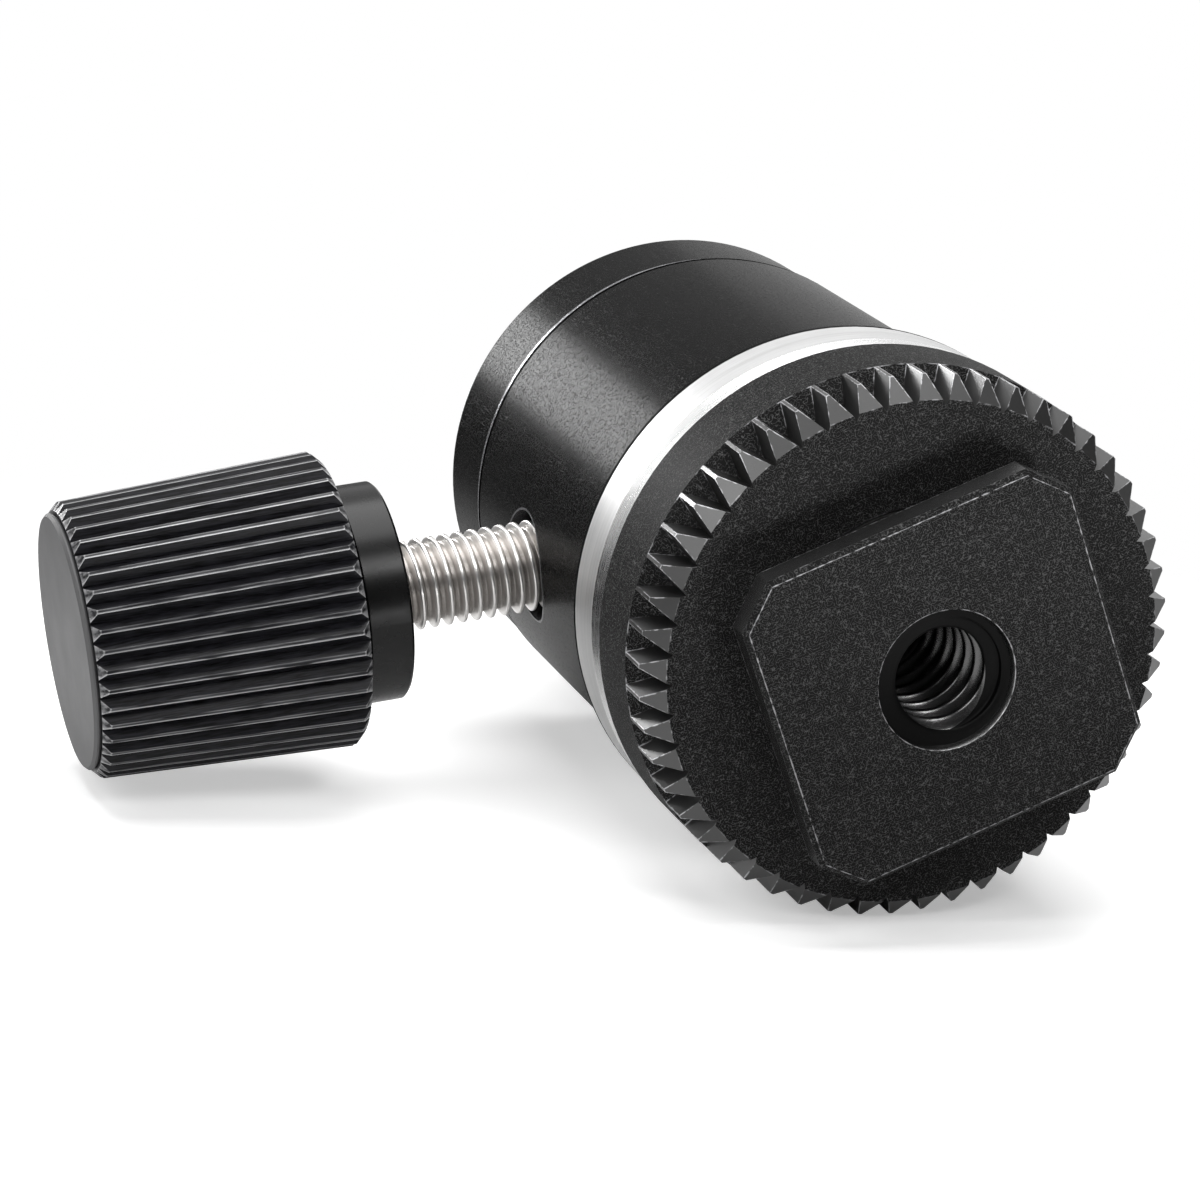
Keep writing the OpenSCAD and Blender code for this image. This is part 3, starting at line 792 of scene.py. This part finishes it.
def make_knob_black():
    """Black anodised ribs: fine lines along the knob, bright worn ridges and soft grey flanks."""
    finish = Finish("ribbed_black", Specular_IOR_Level=0.2)
    flat = finish.beside(finish.place(), knob_out, 0.93)
    lines = finish.noise(0.08, 2.0, flat)
    cloud = finish.noise(2.5, 3.0)
    worn = finish.worn()
    broken = finish.ramp(finish.noise(0.2, 2.0, flat) + worn * 0.3, (0.5, 0), (0.75, 1))
    bare = worn * worn * broken
    tone = finish.between(finish.ramp(lines, (0.35, 0), (0.65, 1)), grey(0.002, 0.1), grey(0.014, 0.25))
    finish.drive("Base Color", finish.between(bare, tone, grey(0.5, 0.02)))
    finish.drive("Metallic", bare * 0.5)
    finish.drive("Roughness", finish.ramp(lines * 0.5 + cloud * 0.5, (0.3, 0.3), (0.7, 0.45)))
    finish.drive("Normal", finish.bump(lines, 0.006))
    return finish.material


def make_plastic():
    """Natural acetal of the ball's seats, slightly clouded."""
    finish = Finish("natural_acetal", Specular_IOR_Level=0.4, Subsurface_Weight=0.1, Subsurface_Scale=0.0005)
    cloud = finish.noise(2.0, 3.0)
    finish.drive("Base Color", finish.between(cloud, (0.74, 0.73, 0.68, 1), (0.82, 0.81, 0.77, 1)))
    finish.drive("Roughness", finish.ramp(cloud, (0.3, 0.4), (0.7, 0.55)))
    finish.drive("Normal", finish.bump(finish.noise(0.1, 2.0), 0.004))
    return finish.material


def make_rubber():
    """Dull black rubber of the table's pad."""
    finish = Finish("pad_rubber", Specular_IOR_Level=0.3)
    cloud = finish.noise(1.2, 3.0)
    finish.drive("Base Color", finish.between(cloud, grey(0.012), grey(0.026)))
    finish.drive("Roughness", finish.ramp(cloud, (0.3, 0.65), (0.7, 0.85)))
    finish.drive("Normal", finish.bump(finish.noise(0.08, 2.0), 0.008))
    return finish.material


def make_satin():
    """Satin black collar, with a faint cloud and very fine grain."""
    finish = Finish("satin_black", Specular_IOR_Level=0.25)
    cloud = finish.noise(1.5, 3.0)
    finish.drive("Base Color", finish.between(cloud, grey(0.003), grey(0.006)))
    finish.drive("Roughness", finish.ramp(cloud, (0.3, 0.26), (0.7, 0.29)))
    finish.drive("Normal", finish.bump(finish.noise(0.06, 3.0), 0.0015))
    return finish.material


def dress(material, *nodes):
    """Gives CAD nodes that keep their own shape a finish."""
    for node in nodes:
        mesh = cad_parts[node].data
        mesh.materials.clear()
        mesh.materials.append(material)


coarse_black = anodised("coarse_black", base=0.01, roughness=0.5, specular=0.03, grain=0.155, depth=0.01,
    light=0.1, worn_level=0.45)
facet_black = anodised("facet_black", base=0.003, roughness=0.36, specular=1.0, grain=0.2, depth=0.001,
    light=0.006, worn_level=0.6)
thread_black = anodised("thread_black", base=0.002, roughness=0.26, specular=1.0, grain=0.2, depth=0.0015,
    light=0.006, worn_level=0.6, ior=1.65)
# Painted shade: a darker, duller finish for the socket's first rows, where the hole lies in shade
mouth_shade_black = anodised("mouth_shade_black", base=0.001, roughness=0.45, specular=0.1, grain=0.2, depth=0.002,
    light=0.002, worn_level=0.6)
stainless = make_stainless_thread()
steel = metal("oiled_steel", base=0.3, roughness=0.35, scratch=0.3, stretch=(1, 1, 6), oil=0.5)
bright_steel = metal("bright_steel", base=0.6, roughness=0.3, scratch=0.3, stretch=(1, 1, 6), oil=0.2)
polished = metal("polished_ball", base=0.62, roughness=0.12, scratch=1.2, stretch=(1, 1, 4), oil=0.1)

foot = make_shoe_foot([coarse_black, thread_black, mouth_shade_black])
wheel = make_lock_wheel([coarse_black, facet_black])
knob = make_knob_body([make_knob_black()])
stud_root_r = stud_r - stud_depth
stud = make_thread("lock_stud_threaded", stainless, on_knob_axis, columns=72, pitch=stud_pitch,
    radii=(stud_root_r, stud_r), span=(stud_inner + plain_end, stud_outer - plain_end),
    below=[(0, stud_inner), (stud_root_r, stud_inner)], above=[(stud_root_r, stud_outer), (0, stud_outer)])
screw_end_z = screw_top_z - screw_end_h
screw = make_thread("camera_screw_threaded", stainless, np.asarray, columns=120, pitch=coarse_pitch,
    radii=(coarse_minor_r, coarse_major_r), span=(pad_top_z + plain_end, screw_end_z - plain_end),
    below=[(0, shank_z), (shank_r, shank_z), (shank_r, screw_foot_z), (screw_foot_r, screw_foot_z),
        (screw_foot_r, pad_top_z), (coarse_minor_r, pad_top_z)],
    above=[(coarse_minor_r, screw_end_z), (coarse_minor_r - screw_end_w, screw_top_z), (0, screw_top_z)])
pad = make_pad([make_rubber()])

for piece, node, body, slot in ((foot, "shoe_foot", "head", "black_coarse"),
        (wheel, "lock_wheel", "wheel", "black_coarse"), (knob, "knob_body", "knob", "black_ribs"),
        (stud, "lock_stud", "knob", "stainless"), (screw, "camera_screw", "table", "stainless"),
        (pad, "platform_pad", "table", "pad_rubber")):
    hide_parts(node)
    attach(piece, body)

dress(make_peel_black(), "housing", "top_cap", "platform")
dress(make_silver(), "base_ring")
dress(make_satin(), "knob_hub")
dress(make_grey_disc(), "knob_end_cap")
dress(steel, "pressure_washer", "base_screws", "clamp_piston", "brake_pin")
dress(bright_steel, "knob_nut")
dress(polished, "ball", "ball_stem")
dress(make_plastic(), "upper_seat", "lower_seat")


# Studio: camera, floor, lamps and cards. The floor's facts and all distances are in millimetres.

camera_place = (-51.24, -85.87, -177.11)
camera_turn = (162.39, 18.043, 18.543)
camera_lens = 122.07
camera_film = 36
middle = Vector((-4, -1, 18))

floor_up = Vector((0.424, -0.906, 0.03)).normalized()
floor_drop = 14.45
floor_r = 170
floor_forward = 15
floor_level = 0.88
floor_glow = 0.39
floor_fade_start = 55
floor_fade_end = 100

gloss_level = 0.85
room_level = 0.08

camera = bpy.data.objects.new("camera", bpy.data.cameras.new("camera"))
bpy.context.scene.collection.objects.link(camera)
camera.location = Vector(camera_place) * MM
camera.rotation_euler = Euler([math.radians(a) for a in camera_turn])
camera.data.lens = camera_lens
camera.data.sensor_width = camera_film
camera.data.clip_start = 0.01
bpy.context.scene.camera = camera
camera_axes = camera.rotation_euler.to_matrix()


def as_seen(right, up, near):
    """Direction or distance given along the camera's right, its up and towards it."""
    return camera_axes @ Vector((right, up, near))


def make_floor():
    """Pale disc under the head as it lies, fading at its rim, and clear from behind.

    Its points are r (cos angle, sin angle, 0), turned to the floor's own direction.
    """
    points = turned(np.array([[0], [floor_r]]) * np.ones((1, 96)), 0.0, even_angles(96))
    turn = np.array(floor_up.to_track_quat("Z", "Y").to_matrix())
    front = middle + as_seen(0, 0, floor_forward)
    centre = np.array(front - floor_up * (floor_up.dot(front) + floor_drop))
    finish = Finish("pale_floor", Base_Color=grey(floor_level), Roughness=1.0, Specular_IOR_Level=0.0,
        Emission_Strength=1.0)
    seen = finish.node("ShaderNodeLightPath", output="Is Camera Ray")
    finish.drive("Emission Color", finish.between(seen, grey(0), grey(floor_glow)))
    away = finish.vector("DISTANCE", finish.place(), tuple(centre * MM), "Value")
    back = finish.node("ShaderNodeNewGeometry", output="Backfacing")
    fade = finish.node("ShaderNodeMapRange", {"interpolation_type": "SMOOTHSTEP"},
        {0: away, 1: floor_fade_start * MM, 2: floor_fade_end * MM, 3: 1.0, 4: 0.0})
    finish.drive("Alpha", fade * (1 - back))
    floor = Skin()
    floor.rows(points @ turn.T + centre)
    made = floor.build("floor", [finish.material])
    if made.data.polygons[0].normal.dot(floor_up) < 0:
        made.data.flip_normals()


def lamp(name, direction, distance, size, watts):
    """Square lamp that faces the head from a direction as the camera sees it."""
    light = bpy.data.lights.new(name, "AREA")
    light.shape = "SQUARE"
    light.size = size * MM
    light.energy = watts
    made = bpy.data.objects.new(name, light)
    bpy.context.scene.collection.objects.link(made)
    toward = as_seen(*direction).normalized()
    made.location = (middle + toward * distance) * MM
    made.rotation_euler = toward.to_track_quat("Z", "Y").to_euler()


def grey_card(name, place, width, height, level):
    """Board facing the head that the camera doesn't see, for a darker surround in gloss.

    Its middle lies at distances along the camera's own directions, and it glows evenly at its grey level.
    """
    centre = as_seen(*place)
    across = as_seen(0, 1, 0).cross(centre).normalized() * width / 2
    upward = centre.cross(across).normalized() * height / 2
    corners = [-across - upward, across - upward, across + upward, upward - across]
    finish = Finish(name, Base_Color=grey(0), Roughness=1.0, Specular_IOR_Level=0.0, Emission_Color=grey(1),
        Emission_Strength=level)
    finish.drive("Alpha", 1 - finish.node("ShaderNodeLightPath", output="Is Camera Ray"))
    board = Skin()
    board.add(np.array([middle + centre + corner for corner in corners]), [[0, 1, 2, 3]])
    board.build(name, [finish.material])


def light_world():
    """White to the camera, a little less in gloss and through glass, and dim as light on the object."""
    world = bpy.data.worlds.new("studio")
    bpy.context.scene.world = world
    world.use_nodes = True
    sky = Nodes(world.node_tree)
    background = sky.tree.nodes["Background"]
    background.inputs["Color"].default_value = grey(1)
    camera_ray, glossy_ray, transmission_ray = (sky.node("ShaderNodeLightPath", output=ray)
        for ray in ("Is Camera Ray", "Is Glossy Ray", "Is Transmission Ray"))
    white = camera_ray.greater(glossy_ray.greater(transmission_ray) * gloss_level)
    strength = room_level + white * (1 - room_level)
    sky.tree.links.new(strength.socket, background.inputs["Strength"])


make_floor()
grey_card("front_card", (0, 0, 560), 1900, 1500, 0.03)
grey_card("back_card", (-200, -100, -560), 2000, 1080, 0.2)
grey_card("right_card", (600, 120, 60), 900, 900, 0.08)
lamp("top_softbox", (0.0, 1.0, 0.12), 420, 400, 2.1)
lamp("back_left_box", (-0.57, 0.46, -0.68), 450, 110, 0.75)
lamp("front_left_box", (-0.5, 0.35, 0.79), 450, 280, 1.0)
lamp("front_right_box", (0.4, 0.5, 0.77), 450, 120, 0.5)
lamp("front_key", (0.48, -0.46, 0.74), 450, 90, 1.4)
lamp("far_fill", (0.3, 0.3, -1.0), 500, 300, 0.2)
light_world()
bpy.context.scene.view_settings.view_transform = "Standard"
